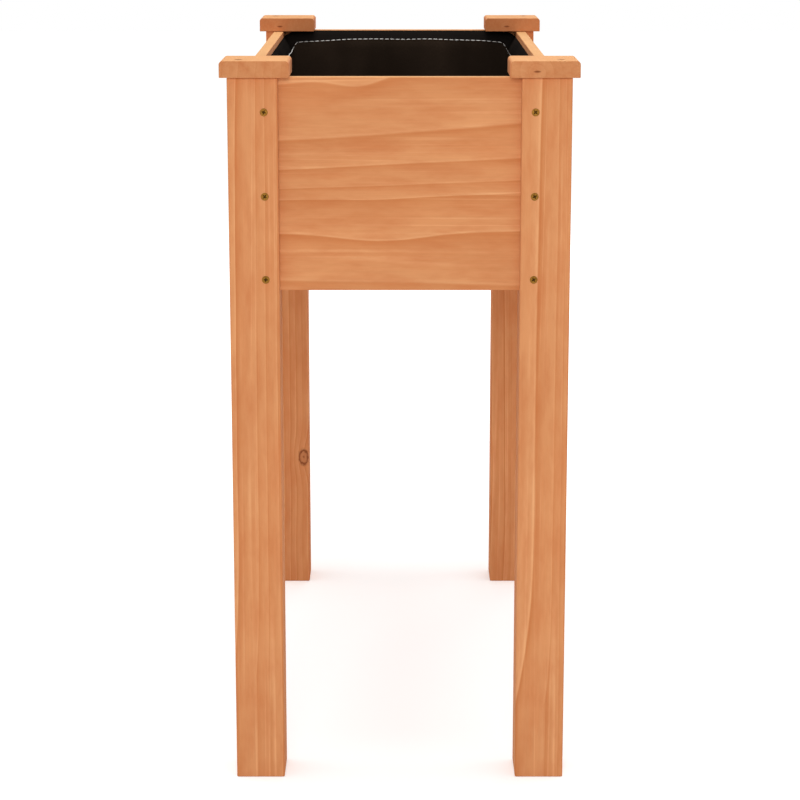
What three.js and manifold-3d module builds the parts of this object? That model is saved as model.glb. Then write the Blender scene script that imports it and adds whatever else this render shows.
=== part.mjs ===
// A raised wooden planter on four legs: a boarded box with a slatted floor and a fabric liner.
// Millimetres, +Z up. X runs across the planter, Y along it, and the ground is at Z = 0.
import * as THREE from 'three'
import { mergeVertices } from 'three/addons/utils/BufferGeometryUtils.js'
import Module from 'manifold-3d'

const wasm = await Module()
wasm.setup()

// Legs: square posts, measured over their outer faces
const legSpanX = 365
const legSpanY = 785
const legHeight = 782
const legSide = 53.5
const legEase = 1.5

// Every piece keeps this gap to the piece that it rests on or lies against
const fitGap = 0.3

// The box boards stand in a double rebate in each leg, behind a lip of this thickness
const lipThickness = 11
const boardThickness = 13
const boardHeight = 229
const boardEase = 1
const boardDrop = 0.3

// Caps on the leg tops: short lengths of a batten whose two upper edges are rounded over
const capThickness = 17.7
const capOverhangOut = 7.5
const capOverhangIn = 12.5
const capEdge = 4
const capEdgeSteps = 4

// Countersunk cross-head screws, put in through the lips into the board ends
const screwRows = 3
const screwTopMargin = 36.2
const screwBottomMargin = 13.4
const screwHeadRadius = 4
const screwHeadRim = 0.5
const screwShankRadius = 2
const screwPoint = 5
const screwSink = 0.3
const screwCover = 2.3
const crossLength = 4.6
const crossWidth = 1
const crossDepth = 1.8
const roundSides = 12

// One longer screw holds each cap down on the solid corner of its leg
const capScrewLength = 45

// Floor: two ledgers screwed to the long boards carry loose slats
const ledgerSide = 20
const ledgerEase = 1
const ledgerScrewCount = 3
const ledgerScrewEndMargin = 90
const ledgerScrewCover = 5.5
const slatWidth = 75
const slatThickness = 10
const slatEase = 1
const slatLeastGap = 12
const slatEndClearance = 1

// Liner: an open fabric bag inside the boards
const linerWall = 2
const linerClearance = 0.8
const linerCornerRadius = 18
const linerCornerSteps = 3
const linerEndDrop = 0.8
const linerSideDrop = 7.5
const linerHemDrop = 15
const linerHemInset = 9
const linerWallInset = 5
const linerFootInset = 7
const linerFloorInset = 14
const linerFootHeight = 12
const linerFoldDepth = 4
const linerFoldLength = 105
const linerFoldSteps = 4
const linerBandHeights = [0.36, 0.68]

// Sizes that follow from the ones above
const coreSide = lipThickness + fitGap + boardThickness
const screwInset = (coreSide + legSide) / 2
const boardTop = legHeight - boardDrop
const boardBase = boardTop - boardHeight
const rebateBase = boardBase - fitGap
const insideX = legSpanX - 2 * coreSide
const insideY = legSpanY - 2 * coreSide
const screwPitch = (boardHeight - screwTopMargin - screwBottomMargin) / (screwRows - 1)
const screwHeights = Array.from({ length: screwRows }, (_, i) => boardTop - screwTopMargin - i * screwPitch)
const screwLength = coreSide - screwCover
const ledgerScrewLength = ledgerSide + fitGap + boardThickness - ledgerScrewCover
const ledgerLength = insideY - 2 * fitGap
const ledgerScrewPitch = (ledgerLength - 2 * ledgerScrewEndMargin) / (ledgerScrewCount - 1)
const slatLength = insideX - 2 * slatEndClearance
const slatCount = Math.floor((insideY - slatLeastGap) / (slatWidth + slatLeastGap))
const slatGap = (insideY - slatCount * slatWidth) / (slatCount + 1)
const slatBase = boardBase + ledgerSide + fitGap
const linerBase = slatBase + slatThickness + fitGap
const capSide = capOverhangOut + legSide + capOverhangIn
const capTop = legHeight + fitGap + capThickness
const bigCut = 2 * legSide

// A cutter that must break through a face starts this far outside it
const breakout = 2

const legWood = finish(0xd68d5d, 0.62, 0)
const boardWood = finish(0xd6905f, 0.62, 0)
const capWood = finish(0xe39c66, 0.6, 0)
const innerWood = finish(0xc98a5c, 0.7, 0)
const linerFabric = finish(0x201c1a, 0.95, 0)
const yellowZinc = finish(0x96702e, 0.4, 0.9)

function finish(color, roughness, metalness) {
  return new THREE.MeshStandardMaterial({ color, roughness, metalness })
}

// Turns a closed geometry into a solid that can be cut
function solidOf(geometry) {
  const bare = geometry.clone()
  bare.deleteAttribute('normal')
  bare.deleteAttribute('uv')
  const merged = mergeVertices(bare)
  const corners = merged.index.array
  const triangles = []
  for (let i = 0; i < corners.length; i += 3) {
    const [a, b, c] = corners.slice(i, i + 3)
    const collapsed = a === b || b === c || c === a
    if (!collapsed) triangles.push(a, b, c)
  }
  const vertProperties = new Float32Array(merged.attributes.position.array)
  const triVerts = new Uint32Array(triangles)
  return new wasm.Manifold(new wasm.Mesh({ numProp: 3, vertProperties, triVerts }))
}

function geometryOf(solid) {
  const cut = solid.getMesh()
  const geometry = new THREE.BufferGeometry()
  geometry.setAttribute('position', new THREE.BufferAttribute(cut.vertProperties, 3))
  geometry.setIndex(new THREE.BufferAttribute(cut.triVerts, 1))
  geometry.computeVertexNormals()
  return geometry
}

function boxBetween(low, high) {
  const size = high.map((value, i) => value - low[i])
  const middle = high.map((value, i) => (value + low[i]) / 2)
  return new THREE.BoxGeometry(...size).translate(...middle)
}

// A rectangle centred on the origin, with quarter-round corners
function easedRectangle(width, height, ease) {
  const x = width / 2 - ease
  const y = height / 2 - ease
  const quarter = Math.PI / 2
  const shape = new THREE.Shape()
  shape.absarc(x, y, ease, 0, quarter)
  shape.absarc(-x, y, ease, quarter, 2 * quarter)
  shape.absarc(-x, -y, ease, 2 * quarter, 3 * quarter)
  shape.absarc(x, -y, ease, 3 * quarter, 4 * quarter)
  return shape
}

// A straight board: its thickness along X, its height up from Z = 0, its length along Y
function plank(thickness, height, length, ease) {
  const section = easedRectangle(thickness, height, ease)
  const bar = new THREE.ExtrudeGeometry(section, { depth: length, bevelEnabled: false, curveSegments: 2 })
  return bar.translate(0, height / 2, -length / 2).rotateX(Math.PI / 2)
}

// A screw lies along +Y with its head at Y = 0; grow makes the hole that it needs
function screwShape(length, grow) {
  const headTop = grow > 0 ? -breakout : 0
  const cone = screwHeadRadius - screwShankRadius
  const tip = length - screwSink
  const profile = [
    new THREE.Vector2(0, headTop),
    new THREE.Vector2(screwHeadRadius + grow, headTop),
    new THREE.Vector2(screwHeadRadius + grow, screwHeadRim),
    new THREE.Vector2(screwShankRadius + grow, screwHeadRim + cone + grow),
    new THREE.Vector2(screwShankRadius + grow, tip - screwPoint),
    new THREE.Vector2(0, tip + grow),
  ]
  return new THREE.LatheGeometry(profile, roundSides)
}

function crossHeadScrew(length) {
  const half = crossLength / 2
  const slim = crossWidth / 2
  const alongX = solidOf(boxBetween([-half, -breakout, -slim], [half, crossDepth, slim]))
  const alongZ = solidOf(boxBetween([-slim, -breakout, -half], [slim, crossDepth, half]))
  const recess = alongX.add(alongZ)
  return geometryOf(solidOf(screwShape(length, 0)).subtract(recess))
}

// The hole for a screw whose head is at the origin and whose shank runs along +X
function screwHoleAlongX(length) {
  return screwShape(length, fitGap).translate(0, screwSink, 0).rotateZ(-Math.PI / 2)
}

function screwHoleAlongY(length) {
  return screwShape(length, fitGap).translate(0, screwSink, 0)
}

// The leg's own frame has its outer corner at the origin and its wood towards +X and +Y
function legGeometry() {
  const section = easedRectangle(legSide, legSide, legEase)
  const options = { depth: legHeight, bevelEnabled: false, curveSegments: 3 }
  const post = new THREE.ExtrudeGeometry(section, options)
  let leg = solidOf(post.translate(legSide / 2, legSide / 2, 0))
  const top = legHeight + breakout
  leg = leg.subtract(solidOf(boxBetween([coreSide, lipThickness, rebateBase], [bigCut, bigCut, top])))
  leg = leg.subtract(solidOf(boxBetween([lipThickness, coreSide, rebateBase], [bigCut, bigCut, top])))
  for (const height of screwHeights) {
    leg = leg.subtract(solidOf(screwHoleAlongY(screwLength).translate(screwInset, 0, height)))
    leg = leg.subtract(solidOf(screwHoleAlongX(screwLength).translate(0, screwInset, height)))
  }
  return geometryOf(leg.subtract(capScrewHole()))
}

function capScrewHole() {
  const hole = screwHoleAlongY(capScrewLength).rotateX(-Math.PI / 2)
  return solidOf(hole.translate(coreSide / 2, coreSide / 2, capTop))
}

// A cap in the leg's frame, its rounded edges and its grain along Y or, swapped, along X
function capGeometry(swapped) {
  const middle = capSide / 2 - capOverhangOut
  const low = middle - capSide / 2
  const high = middle + capSide / 2
  const section = new THREE.Shape()
  section.moveTo(low, 0)
  section.lineTo(high, 0)
  section.absarc(high - capEdge, capThickness - capEdge, capEdge, 0, Math.PI / 2)
  section.absarc(low + capEdge, capThickness - capEdge, capEdge, Math.PI / 2, Math.PI)
  const options = { depth: capSide, bevelEnabled: false, curveSegments: capEdgeSteps }
  const batten = new THREE.ExtrudeGeometry(section, options).rotateX(Math.PI / 2)
  batten.translate(0, high, legHeight + fitGap)
  if (swapped) batten.translate(-middle, -middle, 0).rotateZ(Math.PI / 2).translate(middle, middle, 0)
  return geometryOf(solidOf(batten).subtract(capScrewHole()))
}

function placed(name, geometry, material, position = [0, 0, 0], rotation = [0, 0, 0]) {
  const mesh = new THREE.Mesh(geometry, material)
  mesh.name = name
  mesh.position.set(...position)
  mesh.rotation.set(...rotation)
  return mesh
}

// One corner of the planter: a leg with its cap, the screw in the cap and the screws in both lips
function corner(name, shared, faceNames) {
  const group = new THREE.Group()
  const cap = faceNames[0] === 'end' ? shared.capAlong : shared.capAcross
  group.add(placed(`leg_${name}`, shared.leg, legWood))
  group.add(placed(`cap_${name}`, cap, capWood))
  const onCap = [coreSide / 2, coreSide / 2, capTop - screwSink]
  group.add(placed(`cap_screw_${name}`, shared.capScrew, yellowZinc, onCap, [-Math.PI / 2, 0, 0]))
  screwHeights.forEach((height, row) => {
    const onY = [screwInset, screwSink, height]
    const onX = [screwSink, screwInset, height]
    group.add(placed(`${faceNames[0]}_screw_${name}_${row + 1}`, shared.screw, yellowZinc, onY))
    group.add(placed(`${faceNames[1]}_screw_${name}_${row + 1}`, shared.screw, yellowZinc, onX,
      [0, 0, -Math.PI / 2]))
  })
  return group
}

// A board with blind holes for the screws at both ends, its outer face towards -X
function boardGeometry(length, spanAlong, ledgerHoles) {
  let board = solidOf(plank(boardThickness, boardHeight, length, boardEase))
  const lipFace = -boardThickness / 2 - fitGap - lipThickness
  for (const height of screwHeights) {
    for (const end of [-1, 1]) {
      const along = end * (spanAlong / 2 - screwInset)
      const hole = screwHoleAlongX(screwLength).translate(lipFace, along, height - boardBase)
      board = board.subtract(solidOf(hole))
    }
  }
  for (const along of ledgerHoles) {
    const head = boardThickness / 2 + fitGap + ledgerSide
    board = board.subtract(solidOf(ledgerHole(head, along)))
  }
  return geometryOf(board)
}

// The hole of a ledger screw, driven outwards from the ledger's inner face at X = head
function ledgerHole(head, along) {
  const hole = screwHoleAlongX(ledgerScrewLength).rotateZ(Math.PI)
  return hole.translate(head, along, ledgerSide / 2)
}

function ledgerGeometry(holes) {
  let ledger = solidOf(plank(ledgerSide, ledgerSide, ledgerLength, ledgerEase))
  for (const along of holes) {
    ledger = ledger.subtract(solidOf(ledgerHole(ledgerSide / 2, along)))
  }
  return geometryOf(ledger)
}

// One wall of the box, turned so that its outer face looks along the given direction
function wall(name, turn, spanAcross, geometry) {
  const group = new THREE.Group()
  group.rotation.z = turn
  const middle = -spanAcross / 2 + lipThickness + fitGap + boardThickness / 2
  group.add(placed(name, geometry, boardWood, [middle, 0, boardBase]))
  return group
}

function addLedger(group, side, geometry, screw, holes) {
  const inner = -legSpanX / 2 + coreSide + fitGap
  group.add(placed(`ledger_${side}`, geometry, innerWood, [inner + ledgerSide / 2, 0, boardBase]))
  holes.forEach((along, i) => {
    const head = [inner + ledgerSide - screwSink, along, boardBase + ledgerSide / 2]
    group.add(placed(`ledger_screw_${side}_${i + 1}`, screw, yellowZinc, head, [0, 0, Math.PI / 2]))
  })
}

// Height of the liner's rim: high on the end walls, lower on the long walls
function rimHeight(turned) {
  const blend = turned * turned * (3 - 2 * turned)
  return boardTop - linerSideDrop + blend * (linerSideDrop - linerEndDrop)
}

// Stations round the liner, anticlockwise from the middle of the +X wall. Each holds the point of
// the tightest plan, the direction outwards, how far it has turned to an end wall, and the fold phase.
function linerStations() {
  const halfX = insideX / 2 - linerClearance - linerCornerRadius
  const halfY = insideY / 2 - linerClearance - linerCornerRadius
  const stations = []
  const straight = (from, to, outward, turned) => {
    const length = from.distanceTo(to)
    const folds = Math.max(1, Math.round(length / linerFoldLength))
    const steps = folds * linerFoldSteps
    for (let i = 0; i < steps; i += 1) {
      const point = from.clone().lerp(to, i / steps)
      const fold = (1 - Math.cos((2 * Math.PI * folds * i) / steps)) / 2
      stations.push({ point, outward, turned, fold })
    }
  }
  const roundCorner = (x, y, startAngle, endWallFirst) => {
    for (let i = 0; i < linerCornerSteps; i += 1) {
      const share = i / linerCornerSteps
      const angle = startAngle + (share * Math.PI) / 2
      const outward = new THREE.Vector2(Math.cos(angle), Math.sin(angle))
      const turned = endWallFirst ? 1 - share : share
      stations.push({ point: new THREE.Vector2(x, y), outward, turned, fold: 0 })
    }
  }
  const at = (x, y) => new THREE.Vector2(x, y)
  const quarter = Math.PI / 2
  straight(at(halfX, -halfY), at(halfX, halfY), at(1, 0), 0)
  roundCorner(halfX, halfY, 0, false)
  straight(at(halfX, halfY), at(-halfX, halfY), at(0, 1), 1)
  roundCorner(-halfX, halfY, quarter, true)
  straight(at(-halfX, halfY), at(-halfX, -halfY), at(-1, 0), 0)
  roundCorner(-halfX, -halfY, 2 * quarter, false)
  straight(at(-halfX, -halfY), at(halfX, -halfY), at(0, -1), 1)
  roundCorner(halfX, -halfY, 3 * quarter, true)
  return stations
}

// Levels of the liner's wall from its foot up: how far in it stands, and how much of a fold it has
function linerLevels(station, thickness) {
  const rim = rimHeight(station.turned)
  const hem = rim - linerHemDrop
  const foot = linerBase + linerFootHeight
  const between = linerBandHeights.map((share) => ({
    z: foot + share * (hem - foot),
    inset: linerWallInset + thickness,
    fold: 1,
  }))
  return [
    { z: linerBase + thickness, inset: linerFloorInset, fold: 0 },
    { z: foot, inset: linerFootInset + thickness, fold: 0.4 },
    ...between,
    { z: hem, inset: linerHemInset + thickness, fold: 0.5 },
    { z: rim, inset: thickness, fold: 0 },
  ]
}

function linerRing(stations, level, thickness) {
  return stations.map((station) => {
    const { z, inset, fold } = linerLevels(station, thickness)[level]
    const reach = linerCornerRadius - inset - fold * linerFoldDepth * station.fold
    const x = station.point.x + station.outward.x * reach
    const y = station.point.y + station.outward.y * reach
    return [x, y, z]
  })
}

// The bag: up its outside, over the rim and down its inside, with a floor closing both shells
function linerGeometry() {
  const stations = linerStations()
  const levelCount = linerBandHeights.length + 4
  const levels = Array.from({ length: levelCount }, (_, i) => i)
  const outside = levels.map((level) => linerRing(stations, level, 0))
  const inside = levels.reverse().map((level) => linerRing(stations, level, linerWall))
  const rings = [...outside, ...inside]
  const count = stations.length
  const positions = rings.flat(2)
  const triangles = []
  for (let ring = 0; ring < rings.length - 1; ring += 1) {
    for (let i = 0; i < count; i += 1) {
      const next = (i + 1) % count
      const a = ring * count + i
      const b = ring * count + next
      triangles.push(a, b, b + count, a, b + count, a + count)
    }
  }
  const firstMiddle = rings.length * count
  positions.push(0, 0, linerBase, 0, 0, linerBase + linerWall)
  const last = (rings.length - 1) * count
  for (let i = 0; i < count; i += 1) {
    const next = (i + 1) % count
    triangles.push(firstMiddle, next, i)
    triangles.push(firstMiddle + 1, last + i, last + next)
  }
  const geometry = new THREE.BufferGeometry()
  geometry.setAttribute('position', new THREE.Float32BufferAttribute(positions, 3))
  geometry.setIndex(triangles)
  geometry.computeVertexNormals()
  return geometry
}

function planter() {
  const group = new THREE.Group()
  const quarter = Math.PI / 2
  const shared = {
    leg: legGeometry(),
    capAlong: capGeometry(false),
    capAcross: capGeometry(true),
    capScrew: crossHeadScrew(capScrewLength),
    screw: crossHeadScrew(screwLength),
  }
  const corners = [
    { name: 'front_left', x: -1, y: -1, turn: 0, faces: ['end', 'side'] },
    { name: 'front_right', x: 1, y: -1, turn: quarter, faces: ['side', 'end'] },
    { name: 'back_right', x: 1, y: 1, turn: 2 * quarter, faces: ['end', 'side'] },
    { name: 'back_left', x: -1, y: 1, turn: 3 * quarter, faces: ['side', 'end'] },
  ]
  for (const { name, x, y, turn, faces } of corners) {
    const post = corner(name, shared, faces)
    post.position.set((x * legSpanX) / 2, (y * legSpanY) / 2, 0)
    post.rotation.z = turn
    group.add(post)
  }

  const ledgerHoles = Array.from(
    { length: ledgerScrewCount },
    (_, i) => -ledgerLength / 2 + ledgerScrewEndMargin + i * ledgerScrewPitch,
  )
  const sideBoard = boardGeometry(insideY - 2 * fitGap, legSpanY, ledgerHoles)
  const endBoard = boardGeometry(insideX - 2 * fitGap, legSpanX, [])
  const ledger = ledgerGeometry(ledgerHoles)
  const ledgerScrew = crossHeadScrew(ledgerScrewLength)
  const left = wall('side_board_left', 0, legSpanX, sideBoard)
  const right = wall('side_board_right', 2 * quarter, legSpanX, sideBoard)
  addLedger(left, 'left', ledger, ledgerScrew, ledgerHoles)
  addLedger(right, 'right', ledger, ledgerScrew, ledgerHoles)
  group.add(left, right)
  group.add(wall('end_board_front', quarter, legSpanY, endBoard))
  group.add(wall('end_board_back', 3 * quarter, legSpanY, endBoard))

  const slat = plank(slatWidth, slatThickness, slatLength, slatEase)
  for (let i = 0; i < slatCount; i += 1) {
    const y = -insideY / 2 + slatGap + slatWidth / 2 + i * (slatWidth + slatGap)
    group.add(placed(`floor_slat_${i + 1}`, slat, innerWood, [0, y, slatBase], [0, 0, quarter]))
  }

  group.add(placed('liner', linerGeometry(), linerFabric))
  return group
}

export default planter()
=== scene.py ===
import math

import bmesh
import bpy
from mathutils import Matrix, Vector, noise


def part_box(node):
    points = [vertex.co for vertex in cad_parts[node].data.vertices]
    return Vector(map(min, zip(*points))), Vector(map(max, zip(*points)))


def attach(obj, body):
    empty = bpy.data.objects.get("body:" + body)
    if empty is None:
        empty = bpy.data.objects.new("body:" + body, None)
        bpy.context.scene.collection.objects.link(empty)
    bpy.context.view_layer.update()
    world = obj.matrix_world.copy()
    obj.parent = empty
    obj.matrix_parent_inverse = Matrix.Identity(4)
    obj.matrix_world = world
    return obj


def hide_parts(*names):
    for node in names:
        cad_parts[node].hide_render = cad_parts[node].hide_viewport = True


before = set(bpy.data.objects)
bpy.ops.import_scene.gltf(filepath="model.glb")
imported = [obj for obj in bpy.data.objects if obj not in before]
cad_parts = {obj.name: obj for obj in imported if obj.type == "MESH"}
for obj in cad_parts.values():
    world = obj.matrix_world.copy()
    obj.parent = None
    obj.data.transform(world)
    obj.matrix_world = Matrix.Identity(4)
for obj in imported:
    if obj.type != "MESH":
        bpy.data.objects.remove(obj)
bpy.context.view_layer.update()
scene = bpy.context.scene
scene.view_settings.view_transform = "Standard"
print("frame loaded:", len(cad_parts), "nodes")


# Camera, at the photograph's angle: level across and looking down a little

cameraSettings = {
    "place": (0.0003, -2.8270, 0.9929),
    "lookDown": 0.2083,     # radians
    "lens": 103.7,          # for a sensor 36 mm wide
    "shiftY": -0.05,        # leaves the photograph's room over and under the planter
}

cameraData = bpy.data.cameras.new("camera")
cameraData.sensor_width = 36
cameraData.lens = cameraSettings["lens"]
cameraData.shift_y = cameraSettings["shiftY"]
camera = bpy.data.objects.new("camera", cameraData)
camera.location = cameraSettings["place"]
camera.rotation_euler = (math.pi / 2 - cameraSettings["lookDown"], 0, 0)
scene.collection.objects.link(camera)
scene.camera = camera


# Helpers for node trees

def stain(red, green, blue):
    # a colour mixed as 0 to 255, turned into the values that a shader wants
    shares = [value / 255 for value in (red, green, blue)]
    linear = [s / 12.92 if s <= 0.04045 else ((s + 0.055) / 1.055) ** 2.4 for s in shares]
    return (*linear, 1)


def addNode(tree, kind, inputs=None, **settings):
    made = tree.nodes.new(kind)
    for name, value in settings.items():
        setattr(made, name, value)
    for key, value in (inputs or {}).items():
        if isinstance(value, bpy.types.NodeSocket):
            tree.links.new(value, made.inputs[key])
        else:
            made.inputs[key].default_value = value
    return made


def math2(tree, operation, a, b=0.0, c=0.0):
    inputs = {0: a, 1: b, 2: c}
    return addNode(tree, "ShaderNodeMath", inputs, operation=operation).outputs[0]


def vectorMath(tree, operation, a, b):
    return addNode(tree, "ShaderNodeVectorMath", {0: a, 1: b}, operation=operation).outputs[0]


def lengthOf(tree, vector):
    inputs = {0: vector}
    return addNode(tree, "ShaderNodeVectorMath", inputs, operation="LENGTH").outputs["Value"]


def attribute(tree, name, output="Fac"):
    return addNode(tree, "ShaderNodeAttribute", attribute_name=name).outputs[output]


def objectPlace(tree):
    return addNode(tree, "ShaderNodeTexCoord").outputs["Object"]


def spread(tree, value, low, high, newLow, newHigh):
    inputs = {"Value": value, "From Min": low, "From Max": high,
              "To Min": newLow, "To Max": newHigh}
    return addNode(tree, "ShaderNodeMapRange", inputs).outputs[0]


def bell(tree, value, middle, width):
    # 1 at the middle, falling off smoothly on both sides
    away = math2(tree, "DIVIDE", math2(tree, "SUBTRACT", value, middle), width)
    square = math2(tree, "MULTIPLY", away, away)
    return math2(tree, "EXPONENT", math2(tree, "MULTIPLY", square, -1.0))


def grainNoise(tree, place, scales, detail=2.0, roughness=0.5):
    scaled = vectorMath(tree, "MULTIPLY", place, scales)
    inputs = {"Vector": scaled, "Scale": 1.0, "Detail": detail, "Roughness": roughness}
    return addNode(tree, "ShaderNodeTexNoise", inputs).outputs[0]


def mixColor(tree, factor, a, b, blend="MIX"):
    inputs = {0: factor, 6: a, 7: b}
    return addNode(tree, "ShaderNodeMix", inputs, data_type="RGBA", blend_type=blend).outputs[2]


def newMaterial(name):
    material = bpy.data.materials.new(name)
    material.use_nodes = True
    tree = material.node_tree
    return material, tree, tree.nodes["Principled BSDF"]


# Wood: stained pine. Each piece carries its own place in the tree as the attribute "grain":
# X and Y across the grain and Z along it, and "tone", how light that piece or face came out.

pineSettings = {
    "earlyWood": stain(195, 120, 70),    # the wide part of a ring, which drank more stain
    "lateWood": stain(227, 164, 114),    # the pale line on a ring's outer side
    "redWood": stain(201, 112, 62),      # patches where the stain stands deeper, and painted shade on the back caps
    "markWood": stain(108, 44, 18),      # pith and knots
    "ringWidth": 0.0085,
    "ringWander": 0.009,                 # how far the rings stray along a board
    "ringStops": ((0.03, 0.0), (0.14, 0.20), (0.38, 0.42),
                  (0.70, 0.52), (0.90, 0.68), (0.965, 1.0)),
    "evenLevel": 0.42,                   # between early and late wood, where a ring is faint
    "fibres": (520, 520, 7),             # noise scales across, across and along the grain
    "pores": (2300, 2300, 50),
    "patches": (75, 75, 17),
    "clouds": (10, 10, 3.5),
    "lines": (58, 58, 0.8),
    "lineStrength": (40, 40, 4),
    "pithSize": (0.0042, 0.0013),
    "dipWidth": 0.03,                    # how far across the rings a dip reaches
    "tipFade": (0.012, 0.045),           # how far from the edge the rings still run out over it
    "sawnTone": 0.90,                    # sawn ends drink more stain
    "roughness": 0.85,
    "gloss": 0.14,
    "bump": (0.3, 0.0004),
}


def pineGrainGroup():
    tree = bpy.data.node_groups.new("pineGrain", "ShaderNodeTree")
    face = tree.interface
    inputs = {"Rings": "Float", "Grain": "Vector", "Contrast": "Float", "Strength": "Float",
              "Red": "Float", "Painted Top Light": "Color", "Mark": "Float"}
    for name, kind in inputs.items():
        face.new_socket(name, in_out="INPUT", socket_type=f"NodeSocket{kind}")
    for name, kind in (("Color", "Color"), ("Height", "Float")):
        face.new_socket(name, in_out="OUTPUT", socket_type=f"NodeSocket{kind}")
    given = addNode(tree, "NodeGroupInput").outputs
    rings, grain = given["Rings"], given["Grain"]

    # each ring is dark where it starts, and pales to a thin line on its outer side
    ramp = addNode(tree, "ShaderNodeValToRGB", {0: math2(tree, "FRACT", rings)})
    points = ramp.color_ramp.elements
    points[0].position, points[0].color = 0.0, (0.05, 0.05, 0.05, 1)
    points[1].position, points[1].color = 1.0, (0.10, 0.10, 0.10, 1)
    for position, level in pineSettings["ringStops"]:
        points.new(position).color = (level, level, level, 1)
    even = pineSettings["evenLevel"]
    swing = math2(tree, "MULTIPLY", given["Contrast"], given["Strength"])
    late = math2(tree, "MULTIPLY_ADD", math2(tree, "SUBTRACT", ramp.outputs[0], even), swing, even)

    # thin pale lines between the rings, stronger in some places than in others
    drift = grainNoise(tree, grain, pineSettings["lines"], 1, 0.4)
    drift = math2(tree, "FRACT", math2(tree, "MULTIPLY", drift, 6.0))
    strong = grainNoise(tree, grain, pineSettings["lineStrength"], 2, 0.5)
    strong = spread(tree, strong, 0.42, 0.62, 0.0, 0.38)
    strong = math2(tree, "MULTIPLY", strong, given["Contrast"])
    late = math2(tree, "MULTIPLY_ADD", bell(tree, drift, 0.5, 0.10), strong, late)

    fibres = grainNoise(tree, grain, pineSettings["fibres"], 3, 0.55)
    pores = grainNoise(tree, grain, pineSettings["pores"], 2, 0.6)
    patches = grainNoise(tree, grain, pineSettings["patches"], 3, 0.6)
    cloud = grainNoise(tree, grain, pineSettings["clouds"], 3, 0.55)
    light = math2(tree, "MULTIPLY", spread(tree, fibres, 0.3, 0.7, 0.975, 1.02),
                  spread(tree, pores, 0.3, 0.7, 0.985, 1.012))
    light = math2(tree, "MULTIPLY", light, spread(tree, patches, 0.3, 0.7, 0.965, 1.03))
    light = math2(tree, "MULTIPLY", light, spread(tree, cloud, 0.25, 0.75, 0.95, 1.04))
    light = math2(tree, "MULTIPLY", light, attribute(tree, "tone"))

    color = mixColor(tree, late, pineSettings["earlyWood"], pineSettings["lateWood"])
    # Red pushes the whole piece towards redWood; on the back caps this is painted shade
    deeper = math2(tree, "ADD", spread(tree, patches, 0.25, 0.6, 0.45, 0.0), given["Red"])
    color = mixColor(tree, deeper, color, pineSettings["redWood"])
    # painted top light: faces that look upwards are mixed towards a paler colour, standing in for
    # light from above
    normal = addNode(tree, "ShaderNodeNewGeometry").outputs["Normal"]
    upwards = addNode(tree, "ShaderNodeSeparateXYZ", {0: normal}).outputs[2]
    color = mixColor(tree, spread(tree, upwards, 0.55, 0.95, 0, 0.8), color, given["Painted Top Light"])
    color = mixColor(tree, given["Mark"], color, pineSettings["markWood"])
    shaded = addNode(tree, "ShaderNodeVectorMath", {0: color, "Scale": light}, operation="SCALE")
    height = math2(tree, "MULTIPLY_ADD", pores, 0.4, math2(tree, "MULTIPLY", fibres, 0.6))
    height = math2(tree, "MULTIPLY_ADD", late, 0.25, height)
    addNode(tree, "NodeGroupOutput", {"Color": shaded.outputs[0], "Height": height})
    return tree


pineGrain = pineGrainGroup()


def logRings(tree, parts):
    # rings round the pith, which the grain's zero stands for
    flat = addNode(tree, "ShaderNodeCombineXYZ", {0: parts[0], 1: parts[1], 2: 0.0}).outputs[0]
    count = math2(tree, "DIVIDE", lengthOf(tree, flat), pineSettings["ringWidth"])
    chance = addNode(tree, "ShaderNodeTexNoise", {"W": count, "Scale": 0.9, "Detail": 1.0},
                     noise_dimensions="1D").outputs[0]
    return count, spread(tree, chance, 0.3, 0.7, 0.3, 1.0)


def placedRings(tree, parts, rings):
    # a piece whose rings end at given places across its face, in metres from one edge
    across, deep, along = (parts[axis] for axis in rings["axes"])
    lean = math2(tree, "MULTIPLY_ADD", across, rings.get("leanFade", 0.0), rings.get("lean", 0.0))
    place = math2(tree, "MULTIPLY_ADD", along, lean, across)
    place = math2(tree, "MULTIPLY_ADD", deep, rings["slant"], place)
    for dip in rings.get("dips", ()):
        reach = math2(tree, "MULTIPLY", bell(tree, along, dip["along"], dip["length"]),
                      bell(tree, across, dip["across"], pineSettings["dipWidth"]))
        place = math2(tree, "MULTIPLY_ADD", reach, -dip["depth"], place)
    for tip in rings.get("tips", ()):
        # the rings near one edge of the piece run out over it, and the others stay straight
        share = spread(tree, along, tip["start"], tip["end"], 0, 1)
        reach = math2(tree, "MULTIPLY", math2(tree, "MULTIPLY", share, share),
                      spread(tree, across, *pineSettings["tipFade"], 1, 0))
        place = math2(tree, "MULTIPLY_ADD", reach, tip["depth"], place)
    edges, strengths = zip(*rings["edges"])
    share = spread(tree, place, edges[0], edges[-1], 0, 1)
    counts = [number / (len(edges) - 1) for number in range(len(edges))]
    count = math2(tree, "MULTIPLY", pointCurve(tree, share, edges, counts), len(edges) - 1)
    return count, pointCurve(tree, share, edges, strengths)


def pointCurve(tree, share, places, heights):
    # straight lines from point to point
    curve = addNode(tree, "ShaderNodeFloatCurve", {1: share})
    line = curve.mapping.curves[0]
    length = places[-1] - places[0]
    line.points[0].location = (0, heights[0])
    line.points[-1].location = (1, heights[-1])
    for place, height in zip(places[1:-1], heights[1:-1]):
        line.points.new((place - places[0]) / length, height)
    for point in line.points:
        point.handle_type = "VECTOR"
    curve.mapping.update()
    return curve.outputs[0]


def pithMark(tree, parts):
    # the pith is a small dark streak where a board holds it
    width, height = pineSettings["pithSize"]
    oval = addNode(tree, "ShaderNodeCombineXYZ", {
        0: math2(tree, "DIVIDE", parts[0], width),
        1: math2(tree, "DIVIDE", parts[1], height),
        2: 0.0})
    return spread(tree, lengthOf(tree, oval.outputs[0]), 0.5, 1.1, 0.75, 0)


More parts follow.
